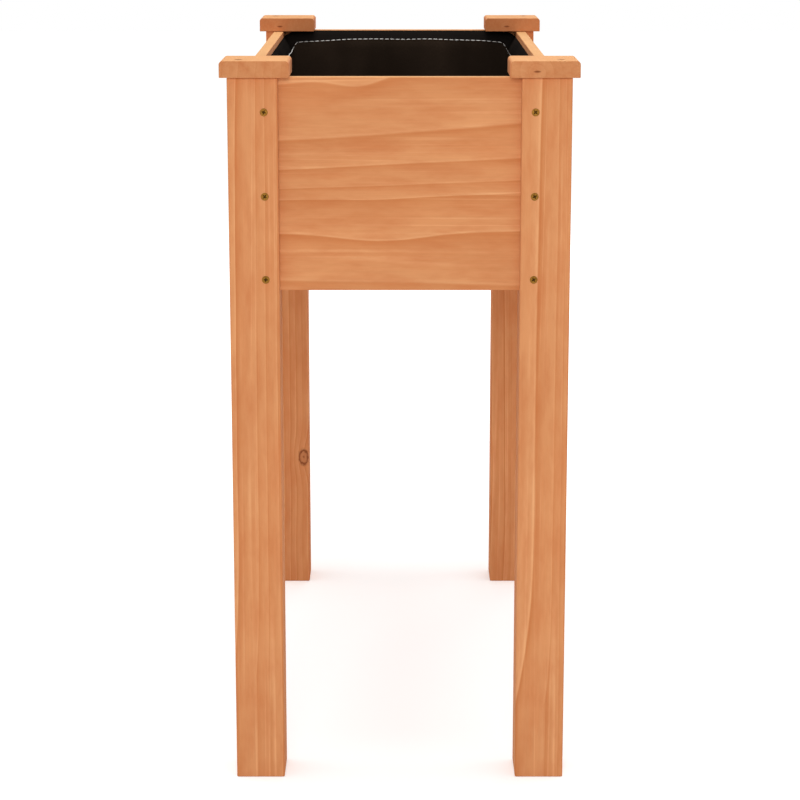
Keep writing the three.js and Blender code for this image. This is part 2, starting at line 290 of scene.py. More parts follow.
def knotMark(tree, knot, count):
    # a small knot: a dark outline, a speck in the middle, and rings that bend round it
    near = vectorMath(tree, "SUBTRACT", objectPlace(tree), knot["place"])
    near = vectorMath(tree, "DIVIDE", near, knot["size"])
    uneven = spread(tree, grainNoise(tree, near, (2, 2, 2), 2, 0.6), 0.3, 0.7, -0.14, 0.14)
    away = math2(tree, "ADD", lengthOf(tree, near), uneven)
    outline = math2(tree, "MULTIPLY", bell(tree, away, 0.92, 0.24), 0.8)
    speck = math2(tree, "MULTIPLY", bell(tree, away, 0.0, 0.28), 0.7)
    inside = spread(tree, away, 0.8, 1.05, 0.26, 0)
    mark = math2(tree, "MAXIMUM", math2(tree, "MAXIMUM", outline, speck), inside)
    bent = math2(tree, "MULTIPLY_ADD", bell(tree, away, 0.0, 2.6), 0.9, count)
    return mark, bent


def pineMaterial(name, contrast=1.0, red=0.0, paintedTopLight=stain(206, 146, 86),
                 rings=None, knot=None):
    material, tree, surface = newMaterial(name)
    grain = attribute(tree, "grain", "Vector")
    slow = addNode(tree, "ShaderNodeTexNoise", {
        "Vector": vectorMath(tree, "MULTIPLY", grain, (7, 7, 2.4)), "Scale": 1.0, "Detail": 2.0})
    wander = pineSettings["ringWander"] * (rings["wander"] if rings else 1.0)
    push = vectorMath(tree, "SUBTRACT", slow.outputs["Color"], (0.5, 0.5, 0.5))
    push = vectorMath(tree, "MULTIPLY", push, (2 * wander, 2 * wander, 0))
    strayed = vectorMath(tree, "ADD", grain, push)
    parts = addNode(tree, "ShaderNodeSeparateXYZ", {0: strayed}).outputs
    exact = addNode(tree, "ShaderNodeSeparateXYZ", {0: grain}).outputs
    count, strength = placedRings(tree, parts, rings) if rings else logRings(tree, parts)
    mark = pithMark(tree, exact) if rings is None else 0.0
    if knot:
        mark, count = knotMark(tree, knot, count)
    wood = addNode(tree, "ShaderNodeGroup", node_tree=pineGrain)
    inputs = {"Rings": count, "Grain": grain, "Strength": strength, "Mark": mark}
    for label, value in inputs.items():
        if isinstance(value, bpy.types.NodeSocket):
            tree.links.new(value, wood.inputs[label])
    wood.inputs["Contrast"].default_value = contrast
    wood.inputs["Red"].default_value = red
    wood.inputs["Painted Top Light"].default_value = paintedTopLight
    bumpStrength, bumpDepth = pineSettings["bump"]
    bump = addNode(tree, "ShaderNodeBump", {
        "Strength": bumpStrength, "Distance": bumpDepth, "Height": wood.outputs["Height"]})
    tree.links.new(wood.outputs["Color"], surface.inputs["Base Color"])
    tree.links.new(bump.outputs[0], surface.inputs["Normal"])
    surface.inputs["Roughness"].default_value = pineSettings["roughness"]
    surface.inputs["Specular IOR Level"].default_value = pineSettings["gloss"]
    return material


# Helpers for wood pieces

def addPiece(name, mesh, material=None):
    piece = bpy.data.objects.new(name, mesh)
    scene.collection.objects.link(piece)
    if material:
        mesh.materials.append(material)
    return piece


def block(name, low, high, material=None):
    mesh = bpy.data.meshes.new(name)
    shape = bmesh.new()
    bmesh.ops.create_cube(shape, size=1)
    for corner in shape.verts:
        corner.co = [l + (c + 0.5) * (h - l) for l, h, c in zip(low, high, corner.co)]
    shape.to_mesh(mesh)
    shape.free()
    return addPiece(name, mesh, material)


def cutAway(piece, cutter):
    cut = piece.modifiers.new("cut", "BOOLEAN")
    cut.object = cutter
    cut.solver = "EXACT"
    cutter.hide_render = True
    return cut


def ease(piece, width, segments=3):
    rounded = piece.modifiers.new("ease", "BEVEL")
    rounded.width = width
    rounded.segments = segments
    rounded.limit_method = "ANGLE"
    rounded.angle_limit = math.radians(40)


def settle(piece):
    # turns the piece's modifiers into plain mesh
    graph = bpy.context.evaluated_depsgraph_get()
    mesh = bpy.data.meshes.new_from_object(piece.evaluated_get(graph), depsgraph=graph)
    mesh.name = piece.name
    piece.modifiers.clear()
    piece.data = mesh
    return piece


def dropHelpers(*helpers):
    for helper in helpers:
        bpy.data.objects.remove(helper)


def layGrain(piece, along, pith, tone=1.0, start=None, turned=False):
    # along is the axis that the grain follows, and pith is how far the tree's heart lies from
    # the piece's middle on the other two
    low, high = start or pieceBox(piece)
    across = [axis for axis in range(3) if axis != along]
    middle = [(low[axis] + high[axis]) / 2 for axis in range(3)]
    grain = piece.data.attributes.new("grain", "FLOAT_VECTOR", "POINT")
    values = []
    for vertex in piece.data.vertices:
        a = vertex.co[across[0]] - middle[across[0]] - pith[0]
        b = vertex.co[across[1]] - middle[across[1]] - pith[1]
        values.extend((a, -b if turned else b, vertex.co[along]))
    grain.data.foreach_set("vector", values)
    shade = piece.data.attributes.new("tone", "FLOAT", "FACE")
    sawn = [abs(face.normal[along]) > 0.9 for face in piece.data.polygons]
    shade.data.foreach_set("value", [
        tone * (pineSettings["sawnTone"] if end else 1.0) for end in sawn])


def pieceBox(piece):
    places = [vertex.co for vertex in piece.data.vertices]
    return ([min(p[axis] for p in places) for axis in range(3)],
            [max(p[axis] for p in places) for axis in range(3)])


# Screws: yellow zinc, countersunk, with a cross recess

screwSettings = {
    "headRadius": 0.0040,
    "headRim": 0.0005,
    "cone": 0.0020,
    "shankRadius": 0.0020,
    "shank": 0.012,
    "crossLength": 0.0048,
    "crossWidth": 0.0012,
    "crossDepth": 0.0020,
    "well": 0.0024,         # about twice the recess's radius at its mouth
    "wellTip": 0.0003,
    "sink": 0.0003,
    "holeGap": 0.0003,
    "sides": 32,
    "seed": 3,
    "zinc": (stain(135, 96, 40), stain(112, 77, 30)),
    # the dark colour painted in the cross recess as shade
    "recessPaintedShade": stain(52, 32, 8),
}

corners = {
    "front_left": (-1, -1),
    "front_right": (1, -1),
    "back_right": (1, 1),
    "back_left": (-1, 1),
}


def screwSpot(node, axis, side):
    # the middle of a screw's head, and the way it faces
    low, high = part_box(node)
    place = (low + high) / 2
    facing = Vector((0, 0, 0))
    facing[axis] = side
    place[axis] = high[axis] if side > 0 else low[axis]
    return place, facing


screwSpots = {}
for corner, (sideX, sideY) in corners.items():
    screwSpots[f"cap_screw_{corner}"] = screwSpot(f"cap_screw_{corner}", 2, 1)
    for row in (1, 2, 3):
        screwSpots[f"end_screw_{corner}_{row}"] = screwSpot(f"end_screw_{corner}_{row}", 1, sideY)
        screwSpots[f"side_screw_{corner}_{row}"] = screwSpot(f"side_screw_{corner}_{row}", 0, sideX)
for name, side in (("left", 1), ("right", -1)):
    for row in (1, 2, 3):
        screwSpots[f"ledger_screw_{name}_{row}"] = screwSpot(f"ledger_screw_{name}_{row}", 0, side)


def countersinks(name, nodes):
    # one cutter for all the screw holes of a piece
    size = screwSettings
    shape = bmesh.new()
    rim = size["headRadius"] + size["holeGap"]
    bore = size["shankRadius"] + size["holeGap"]
    underRim = size["headRim"] + size["sink"]
    underCone = underRim + size["cone"] + size["holeGap"]
    above, below = -0.004, size["shank"] + 0.002
    depths = ((rim, above), (rim, underRim), (bore, underCone), (bore, below))
    for node in nodes:
        place, facing = screwSpots[node]
        outside = place + facing * size["sink"]
        sideways = facing.orthogonal().normalized()
        upwards = facing.cross(sideways)
        circles = []
        for radius, depth in depths:
            circle = []
            for step in range(size["sides"]):
                angle = 2 * math.pi * step / size["sides"]
                reach = sideways * math.cos(angle) + upwards * math.sin(angle)
                circle.append(shape.verts.new(outside + reach * radius - facing * depth))
            circles.append(circle)
        shape.faces.new(circles[0])
        shape.faces.new(reversed(circles[-1]))
        for upper, lower in zip(circles, circles[1:]):
            for i in range(size["sides"]):
                shape.faces.new((upper[i], lower[i], lower[i - 1], upper[i - 1]))
    bmesh.ops.recalc_face_normals(shape, faces=shape.faces)
    mesh = bpy.data.meshes.new(name)
    shape.to_mesh(mesh)
    shape.free()
    return addPiece(name, mesh)


# Legs: square posts, cut back in a double rebate where the box boards stand

legSettings = {
    "lip": 0.011,
    "core": 0.0243,
    "shoulderGap": 0.0003,
    "easedEdge": 0.0014,
    "cutInwards": 0.08,     # the rebate's cutters reach out of the post on these two sides
    "cutUpwards": 0.01,
}


def makeLeg(corner, sideX, sideY, material, pith, tone):
    low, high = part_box(f"leg_{corner}")
    leg = block(f"post_{corner}", low, high, material)
    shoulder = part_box("side_board_left")[0].z - legSettings["shoulderGap"]
    outerX = high.x if sideX > 0 else low.x
    outerY = high.y if sideY > 0 else low.y
    cutters = []
    lip, core, inwards = legSettings["lip"], legSettings["core"], legSettings["cutInwards"]
    cutTop = high.z + legSettings["cutUpwards"]
    for depthX, depthY in ((lip, core), (core, lip)):
        near = Vector((outerX - sideX * depthX, outerY - sideY * depthY, shoulder))
        far = Vector((outerX - sideX * inwards, outerY - sideY * inwards, cutTop))
        cutter = block("rebate", [min(pair) for pair in zip(near, far)],
                       [max(pair) for pair in zip(near, far)])
        cutAway(leg, cutter)
        cutters.append(cutter)
    ease(leg, legSettings["easedEdge"], 4)
    holes = countersinks("holes", [
        f"cap_screw_{corner}",
        *(f"{face}_screw_{corner}_{row}" for face in ("end", "side") for row in (1, 2, 3))])
    cutAway(leg, holes)
    settle(leg)
    dropHelpers(*cutters, holes)
    layGrain(leg, 2, pith, tone, (low, high))
    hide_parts(f"leg_{corner}")
    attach(leg, "root")
    return leg


# Caps: short lengths of batten, their grain along the planter and their long edges rounded over

capSettings = {
    "roundedEdge": 0.004,
    "easedEdge": 0.0006,
}


def makeCap(corner, material, pith, tone):
    low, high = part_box(f"cap_{corner}")
    cap = block(f"plate_{corner}", low, high, material)
    shape = bmesh.new()
    shape.from_mesh(cap.data)
    rounded = [edge for edge in shape.edges
               if all(v.co.z > high.z - 1e-6 for v in edge.verts)
               and abs(edge.verts[0].co.x - edge.verts[1].co.x) < 1e-6]
    bmesh.ops.bevel(shape, geom=rounded, offset=capSettings["roundedEdge"], segments=10,
                    profile=0.5, affect="EDGES")
    shape.to_mesh(cap.data)
    shape.free()
    ease(cap, capSettings["easedEdge"], 2)
    hole = countersinks("hole", [f"cap_screw_{corner}"])
    cutAway(cap, hole)
    settle(cap)
    dropHelpers(hole)
    layGrain(cap, 1, pith, tone)
    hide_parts(f"cap_{corner}")
    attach(cap, "root")
    return cap


# Boards and ledgers

boardSettings = {
    "easedEdge": 0.0010,
}


def makeBoard(node, name, along, material, pith, tone, screws=(), turned=False):
    low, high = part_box(node)
    board = block(name, low, high, material)
    ease(board, boardSettings["easedEdge"], 3)
    holes = countersinks("holes", screws) if screws else None
    if holes:
        cutAway(board, holes)
    settle(board)
    if holes:
        dropHelpers(holes)
    layGrain(board, along, pith, tone, turned=turned)
    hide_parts(node)
    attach(board, "root")
    return board


# paler colours painted on the upward faces of the boards and caps, as painted top light
boardTopPaintedLight = stain(222, 170, 114)
capTopPaintedLight = stain(223, 166, 111)

legPine = pineMaterial("legPine", red=0.12)
backLeftLegPine = pineMaterial("backLeftLegPine", red=0.12, knot={
    "place": (-0.1362, 0.3390, 0.1830),
    "size": (0.0062, 0.0120, 0.0105),
})
leftLegPine = pineMaterial("leftLegPine", rings={
    "axes": (0, 1, 2),
    "edges": ((-0.055, 0.4), (-0.030, 0.6), (-0.012, 0.5), (0.0060, 0.85), (0.0285, 0.45),
              (0.0385, 0.45), (0.0512, 0.5), (0.066, 0.6), (0.085, 0.4), (0.100, 0.5)),
    "slant": 0.5,
    "wander": 0.3,
    "tips": ({"start": 0.55, "end": 0.80, "depth": -0.0045},
             {"start": 0.28, "end": 0.12, "depth": 0.007}),
})
rightLegPine = pineMaterial("rightLegPine", rings={
    "axes": (0, 1, 2),
    "edges": ((-0.060, 0.4), (-0.041, 0.6), (-0.022, 0.5), (0.0185, 0.9), (0.0395, 0.4),
              (0.0475, 0.4), (0.0520, 0.4), (0.075, 0.5), (0.090, 0.4)),
    "slant": -0.4,
    "wander": 0.3,
    "tips": ({"start": 0.50, "end": 0.80, "depth": -0.0050},
             {"start": 0.27, "end": 0.085, "depth": 0.019}),
})
boardPine = pineMaterial("boardPine", paintedTopLight=boardTopPaintedLight)
frontBoardPine = pineMaterial("frontBoardPine", contrast=0.8, paintedTopLight=boardTopPaintedLight, rings={
    "axes": (1, 0, 2),
    "edges": ((-0.050, 0.5), (-0.003, 0.7), (0.0605, 0.8), (0.0930, 0.75), (0.1150, 0.6),
              (0.1275, 0.85), (0.1660, 1.0), (0.2220, 0.5), (0.2700, 0.5)),
    "slant": 0.4,
    "wander": 0.55,
    "lean": 0.10,
    "leanFade": -0.6,
    "dips": ({"along": -0.044, "length": 0.032, "across": 0.003, "depth": 0.011},
             {"along": -0.019, "length": 0.060, "across": 0.166, "depth": 0.010}),
})
capPine = pineMaterial("capPine", contrast=0.3, paintedTopLight=capTopPaintedLight)
# a redder copy of the cap wood for the back caps, which is painted shade
backCapShadedPine = pineMaterial("backCapShadedPine", contrast=0.3, red=0.38, paintedTopLight=capTopPaintedLight)
innerPine = pineMaterial("innerPine")

makeLeg("front_left", -1, -1, leftLegPine, (-0.02675, -0.02675), 1.0)
makeLeg("front_right", 1, -1, rightLegPine, (-0.02675, -0.02675), 1.0)
makeLeg("back_right", 1, 1, legPine, (0.11, 0.02), 1.05)
makeLeg("back_left", -1, 1, backLeftLegPine, (-0.10, -0.015), 1.06)
print("legs made")

makeCap("front_left", capPine, (-0.16, 0.012), 0.99)
makeCap("front_right", capPine, (-0.0088, -0.0022), 0.99)
# the back caps' redder wood and slightly lower tone are painted shade
makeCap("back_right", backCapShadedPine, (-0.0080, -0.0022), 0.98)
makeCap("back_left", backCapShadedPine, (-0.0094, -0.0022), 0.98)
print("caps made")

makeBoard("end_board_front", "front_wall", 0, frontBoardPine, (-0.0065, 0.1145),
          0.98, turned=True)
makeBoard("end_board_back", "back_wall", 0, boardPine, (-0.07, 0.02), 0.97)
makeBoard("side_board_left", "left_wall", 1, boardPine, (0.06, -0.05), 1.0)
makeBoard("side_board_right", "right_wall", 1, boardPine, (-0.065, 0.04), 1.0)
for side in ("left", "right"):
    pith = (0.03, -0.02) if side == "left" else (-0.02, 0.035)
    makeBoard(f"ledger_{side}", f"bearer_{side}", 1, innerPine, pith, 0.97,
              [f"ledger_screw_{side}_{row}" for row in (1, 2, 3)])
print("boards made")


# Floor slats

slatSettings = {
    "count": 8,
    "easedEdge": 0.0010,
    "heartLow": (-0.06, -0.05, -0.5),    # where each slat was sawn from its tree
    "heartHigh": (0.06, 0.05, 0.5),
    "heartUnder": 0.53,
    "tone": 0.95,
    "seed": 5,
}


def geometryTree(name, sockets):
    tree = bpy.data.node_groups.new(name, "GeometryNodeTree")
    face = tree.interface
    face.new_socket("Geometry", in_out="INPUT", socket_type="NodeSocketGeometry")
    for label, kind in sockets.items():
        face.new_socket(label, in_out="INPUT", socket_type=f"NodeSocket{kind}")
    face.new_socket("Geometry", in_out="OUTPUT", socket_type="NodeSocketGeometry")
    return tree, addNode(tree, "NodeGroupInput").outputs


def growFrom(piece, tree, values):
    # runs the tree on the piece and keeps the result as plain mesh
    step = piece.modifiers.new(tree.name, "NODES")
    step.node_group = tree
    for socket in tree.interface.items_tree:
        if socket.item_type == "SOCKET" and socket.in_out == "INPUT" and socket.name in values:
            step[socket.identifier] = values[socket.name]
    return settle(piece)


def slatTree():
    tree, given = geometryTree("slats", {
        "Width": "Float", "Thickness": "Float", "Length": "Float", "Count": "Int",
        "First": "Vector", "Pitch": "Float", "Seed": "Int", "Wood": "Material"})
    size = addNode(tree, "ShaderNodeCombineXYZ", {
        0: given["Length"], 1: given["Width"], 2: given["Thickness"]})
    slat = addNode(tree, "GeometryNodeMeshCube", {"Size": size.outputs[0]})
    step = addNode(tree, "ShaderNodeCombineXYZ", {1: given["Pitch"]})
    line = addNode(tree, "GeometryNodeMeshLine", {
        "Count": given["Count"], "Start Location": given["First"], "Offset": step.outputs[0]},
        mode="OFFSET")
    copies = addNode(tree, "GeometryNodeInstanceOnPoints", {
        "Points": line.outputs[0], "Instance": slat.outputs["Mesh"]})
    number = addNode(tree, "GeometryNodeInputIndex").outputs[0]
    chance = addNode(tree, "FunctionNodeRandomValue", {
        0: slatSettings["heartLow"], 1: slatSettings["heartHigh"],
        "ID": number, "Seed": given["Seed"]},
        data_type="FLOAT_VECTOR")
    marked = addNode(tree, "GeometryNodeStoreNamedAttribute", {
        "Geometry": copies.outputs[0], "Name": "heart", "Value": chance.outputs[0]},
        data_type="FLOAT_VECTOR", domain="INSTANCE")
    real = addNode(tree, "GeometryNodeRealizeInstances", {0: marked.outputs[0]})
    wooden = addNode(tree, "GeometryNodeSetMaterial", {
        "Geometry": real.outputs[0], "Material": given["Wood"]})
    addNode(tree, "NodeGroupOutput", {"Geometry": wooden.outputs[0]})
    return tree


def makeSlats():
    firstLow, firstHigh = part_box("floor_slat_1")
    nextLow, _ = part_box("floor_slat_2")
    size = firstHigh - firstLow
    slats = growFrom(addPiece("slats", bpy.data.meshes.new("slats")), slatTree(), {
        "Width": size.y, "Thickness": size.z, "Length": size.x, "Count": slatSettings["count"],
        "First": tuple((firstLow + firstHigh) / 2), "Pitch": nextLow.y - firstLow.y,
        "Seed": slatSettings["seed"], "Wood": innerPine})
    ease(slats, slatSettings["easedEdge"], 2)
    settle(slats)
    hearts = [Vector(item.vector) for item in slats.data.attributes["heart"].data]
    grain = slats.data.attributes.new("grain", "FLOAT_VECTOR", "POINT")
    pitch = nextLow.y - firstLow.y
    values = []
    for vertex, heart in zip(slats.data.vertices, hearts):
        place = vertex.co
        own = round((place.y - (firstLow.y + firstHigh.y) / 2) / pitch) * pitch
        under = place.z + heart.y - slatSettings["heartUnder"]
        values.extend((place.y - own + heart.x, under, place.x + heart.z))
    grain.data.foreach_set("vector", values)
    shade = slats.data.attributes.new("tone", "FLOAT", "FACE")
    shade.data.foreach_set("value", [slatSettings["tone"]] * len(slats.data.polygons))
    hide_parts(*(f"floor_slat_{number}" for number in range(1, slatSettings["count"] + 1)))
    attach(slats, "root")
    return slats


makeSlats()
print("floor slats laid")


# All the screws, set out by one tree

def zincMaterial():
    material, tree, surface = newMaterial("yellowZinc")
    cloud = grainNoise(tree, objectPlace(tree), (600, 600, 600), 3, 0.6)
    cloudy = spread(tree, cloud, 0.3, 0.7, 0, 1)
    color = mixColor(tree, cloudy, *screwSettings["zinc"])
    # painted shade: the recess faces are mixed towards a dark colour
    shaded = math2(tree, "MULTIPLY", attribute(tree, "recess"), 0.85)
    color = mixColor(tree, shaded, color, screwSettings["recessPaintedShade"])
    bump = addNode(tree, "ShaderNodeBump", {"Strength": 0.2, "Distance": 0.0001, "Height": cloud})
    tree.links.new(color, surface.inputs["Base Color"])
    tree.links.new(spread(tree, cloud, 0.3, 0.7, 0.42, 0.55), surface.inputs["Roughness"])
    tree.links.new(bump.outputs[0], surface.inputs["Normal"])
    surface.inputs["Metallic"].default_value = 1.0
    return material


def screwTree():
    tree, given = geometryTree("screws", {
        "Head Radius": "Float", "Head Rim": "Float", "Cone": "Float", "Shank Radius": "Float",
        "Shank": "Float", "Cross Length": "Float", "Cross Width": "Float", "Cross Depth": "Float",
        "Well": "Float", "Seed": "Int", "Metal": "Material"})

    def lowered(mesh, depth):
        down = addNode(tree, "ShaderNodeCombineXYZ", {2: math2(tree, "MULTIPLY", depth, -1)})
        return addNode(tree, "GeometryNodeTransform", {
            "Geometry": mesh, "Translation": down.outputs[0]}).outputs[0]

    sides = screwSettings["sides"]
    rim = addNode(tree, "GeometryNodeMeshCylinder", {
        "Vertices": sides, "Radius": given["Head Radius"], "Depth": given["Head Rim"]})
    cone = addNode(tree, "GeometryNodeMeshCone", {
        "Vertices": sides, "Radius Top": given["Head Radius"],
        "Radius Bottom": given["Shank Radius"], "Depth": given["Cone"]})
    shank = addNode(tree, "GeometryNodeMeshCylinder", {
        "Vertices": sides, "Radius": given["Shank Radius"], "Depth": given["Shank"]})
    underRim = given["Head Rim"]
    underCone = math2(tree, "ADD", underRim, given["Cone"])
    body = addNode(tree, "GeometryNodeMeshBoolean", operation="UNION", solver="EXACT")
    rimMiddle = math2(tree, "MULTIPLY", underRim, 0.5)
    shankMiddle = math2(tree, "MULTIPLY_ADD", given["Shank"], 0.5, underRim)
    tree.links.new(lowered(rim.outputs["Mesh"], rimMiddle), body.inputs[1])
    tree.links.new(lowered(cone.outputs["Mesh"], underCone), body.inputs[1])
    tree.links.new(lowered(shank.outputs["Mesh"], shankMiddle), body.inputs[1])
    double = math2(tree, "MULTIPLY", given["Cross Depth"], 2)
    cross = addNode(tree, "GeometryNodeMeshBoolean", operation="UNION", solver="EXACT")
    for order in ((0, 1), (1, 0)):
        arms = (given["Cross Length"], given["Cross Width"])
        size = addNode(tree, "ShaderNodeCombineXYZ", {
            0: arms[order[0]], 1: arms[order[1]], 2: double})
        arm = addNode(tree, "GeometryNodeMeshCube", {"Size": size.outputs[0]})
        tree.links.new(arm.outputs["Mesh"], cross.inputs[1])
    well = addNode(tree, "GeometryNodeMeshCone", {
        "Vertices": sides // 2, "Radius Top": given["Well"],
        "Radius Bottom": screwSettings["wellTip"], "Depth": double})
    tree.links.new(lowered(well.outputs["Mesh"], given["Cross Depth"]), cross.inputs[1])
    screw = addNode(tree, "GeometryNodeMeshBoolean", operation="DIFFERENCE", solver="EXACT")
    tree.links.new(body.outputs[0], screw.inputs[0])
    tree.links.new(cross.outputs[0], screw.inputs[1])

    # the faces of the recess are marked, and the material paints shade on them
    place = addNode(tree, "GeometryNodeInputPosition").outputs[0]
    parts = addNode(tree, "ShaderNodeSeparateXYZ", {0: place}).outputs
    flat = addNode(tree, "ShaderNodeCombineXYZ", {0: parts[0], 1: parts[1]}).outputs[0]
    bottom = math2(tree, "MULTIPLY", given["Cross Depth"], -1.1)
    reach = math2(tree, "MULTIPLY", given["Cross Length"], 0.54)
    sunk = math2(tree, "MULTIPLY", math2(tree, "LESS_THAN", parts[2], -0.00004),
                 math2(tree, "GREATER_THAN", parts[2], bottom))
    recess = math2(tree, "MULTIPLY", sunk, math2(tree, "LESS_THAN", lengthOf(tree, flat), reach))
    marked = addNode(tree, "GeometryNodeStoreNamedAttribute", {
        "Geometry": screw.outputs[0], "Name": "recess", "Value": recess},
        data_type="FLOAT", domain="FACE")

    facing = addNode(tree, "GeometryNodeInputNamedAttribute", {"Name": "facing"},
                     data_type="FLOAT_VECTOR")
    aligned = addNode(tree, "FunctionNodeAlignRotationToVector", {"Vector": facing.outputs[0]},
                      axis="Z")
    turn = addNode(tree, "FunctionNodeRandomValue", {2: 0.0, 3: math.tau, "Seed": given["Seed"]})
    spin = addNode(tree, "FunctionNodeAxisAngleToRotation", {
        "Axis": (0, 0, 1), "Angle": turn.outputs[1]})
    turned = addNode(tree, "FunctionNodeRotateRotation", {
        0: aligned.outputs[0], 1: spin.outputs[0]}, rotation_space="LOCAL")
    placed = addNode(tree, "GeometryNodeInstanceOnPoints", {
        "Points": given["Geometry"], "Instance": marked.outputs[0],
        "Rotation": turned.outputs[0]})
    real = addNode(tree, "GeometryNodeRealizeInstances", {0: placed.outputs[0]})
    metal = addNode(tree, "GeometryNodeSetMaterial", {
        "Geometry": real.outputs[0], "Material": given["Metal"]})
    addNode(tree, "NodeGroupOutput", {"Geometry": metal.outputs[0]})
    return tree


def makeScrews():
    mesh = bpy.data.meshes.new("screws")
    mesh.from_pydata([place for place, _ in screwSpots.values()], [], [])
    facing = mesh.attributes.new("facing", "FLOAT_VECTOR", "POINT")
    facing.data.foreach_set("vector", [value for _, way in screwSpots.values() for value in way])
    size = screwSettings
    screws = growFrom(addPiece("screws", mesh), screwTree(), {
        "Head Radius": size["headRadius"], "Head Rim": size["headRim"], "Cone": size["cone"],
        "Shank Radius": size["shankRadius"], "Shank": size["shank"],
        "Cross Length": size["crossLength"], "Cross Width": size["crossWidth"],
        "Cross Depth": size["crossDepth"], "Well": size["well"], "Seed": size["seed"],
        "Metal": zincMaterial()})
    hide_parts(*screwSpots)
    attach(screws, "root")
    return screws


makeScrews()
print("screws set")


# Liner: one piece of black felted fabric, folded up into a bag, with a stitched hem

linerSettings = {
    "clearance": 0.0008,
    "cornerRadius": 0.018,
    "endDrop": 0.0008,
    "sideDrop": 0.0075,
    "hemDrop": 0.015,
    "hemInset": 0.009,
    "wallInset": 0.005,
    "footInset": 0.0085,
    "floorInset": 0.014,
    "footHeight": 0.012,
    "foldDepth": 0.004,
    "foldLength": 0.105,
    "foldAtFoot": 0.4,       # shares of the folds' full depth
    "foldAtHem": 0.15,
    "foldGrows": 0.35,       # shares of the wall's height, up from the foot or down from the hem
    "footReach": 0.3,
    "hemReach": 0.28,
    "thickness": 0.0014,
    "step": 0.006,           # between the mesh lines round the bag
    "rows": 34,              # mesh lines up the wall
    "cornerSteps": 6,
    "floorRings": 9,
    "crumple": 0.0016,
    "crumpleScale": 24,
    "calmFoot": 0.02,        # heights over which the crumples fade out at the foot and the rim
    "calmRim": 0.045,
    "floorWave": 0.0015,
    "floorWaveScale": 18,
    "seed": 11,
    "felt": (stain(42, 33, 26), stain(60, 48, 39)),
    # the dark colour painted as the shadows of the liner's folds
    "foldShade": stain(18, 13, 9),
    "hem": stain(22, 21, 21),
}

stitchSettings = {
    "below": 0.0112,        # under the rim at the middle of an end wall
    "cornerSink": 0.0062,   # lower still at the corners and along the sides
    "pitch": 0.0074,
    "length": 0.0066,
    "width": 0.0011,
    "proud": 0.0003,
    "wave": 0.0009,
    "waveScale": 22,
    "thread": (stain(205, 202, 196), stain(240, 238, 234)),
    "left": 1.12,           # how large the stitches show on the left side, and on the right one
    "right": 0.4,
}


def smoothStep(share):
    share = min(max(share, 0), 1)
    return share * share * (3 - 2 * share)


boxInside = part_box("side_board_right")[0].x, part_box("end_board_back")[0].y
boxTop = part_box("side_board_left")[1].z
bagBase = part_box("liner")[0].z


def linerStations():
    # round the bag: place, way outwards, share of end wall, fold
    size = linerSettings
    halfX = boxInside[0] - size["clearance"] - size["cornerRadius"]
    halfY = boxInside[1] - size["clearance"] - size["cornerRadius"]
    stations = []
    turns = ((1, 0), (0, 1), (-1, 0), (0, -1))
    centres = ((halfX, halfY), (-halfX, halfY), (-halfX, -halfY), (halfX, -halfY))
    for side in range(4):
        outward = Vector((*turns[side], 0))
        start, end = Vector((*centres[side - 1], 0)), Vector((*centres[side], 0))
        length = (end - start).length
        folds = max(1, round(length / size["foldLength"]))
        count = round(length / size["step"])
        for i in range(count):
            share = i / count
            fold = (1 - math.cos(math.tau * folds * share)) / 2
            stations.append((start.lerp(end, share), outward, side % 2, fold))
        for i in range(size["cornerSteps"]):
            share = i / size["cornerSteps"]
            angle = (side + share) * math.pi / 2
            outward = Vector((math.cos(angle), math.sin(angle), 0))
            blend = share if side % 2 == 0 else 1 - share
            stations.append((end, outward, blend, 0))
    return stations


def linerPoint(station, share):
    # share runs from 0 at the foot to 1 at the rim
    size = linerSettings
    place, outward, endWall, fold = station
    rim = boxTop - size["sideDrop"] + smoothStep(endWall) * (size["sideDrop"] - size["endDrop"])
    height = rim - bagBase
    z = share * height
    hemStart = height - size["hemDrop"]
    if z > hemStart:
        t = (z - hemStart) / size["hemDrop"]
        inset, deep = size["hemInset"] * (1 - t), size["foldAtHem"] * (1 - t)
    elif z > size["footHeight"]:
        t = (z - size["footHeight"]) / (hemStart - size["footHeight"])
        nearHem = smoothStep((t - (1 - size["hemReach"])) / size["hemReach"])
        nearFoot = smoothStep((size["footReach"] - t) / size["footReach"])
        inset = size["wallInset"]
        inset += (size["hemInset"] - size["wallInset"]) * nearHem
        inset += (size["footInset"] - size["wallInset"]) * nearFoot
        deep = size["foldAtFoot"] + (1 - size["foldAtFoot"]) * smoothStep(t / size["foldGrows"])
        deep -= (1 - size["foldAtHem"]) * nearHem
    else:
        t = z / size["footHeight"]
        inset = size["footInset"] + (size["floorInset"] - size["footInset"]) * (1 - t) ** 2
        deep = size["foldAtFoot"] * t
    point = place + outward * (size["cornerRadius"] - inset - size["foldDepth"] * deep * fold)
    point.z = bagBase + z
    rough = noise.fractal(point * size["crumpleScale"] + Vector((size["seed"], 0, 0)), 1.0, 2.0, 3)
    quiet = min(z / size["calmFoot"], 1) * smoothStep((height - z) / size["calmRim"])
    return point - outward * size["crumple"] * (0.5 + rough) * quiet


def stitchDepth(station):
    # how far under the rim the hem is sewn
    size = stitchSettings
    rim = linerPoint(station, 1)
    towardsCorner = abs(rim.x) / boxInside[0] if station[2] > 0.5 else 1
    sink = size["cornerSink"] * towardsCorner ** 3
    return size["below"] + sink + size["wave"] * noise.noise(rim * size["waveScale"])


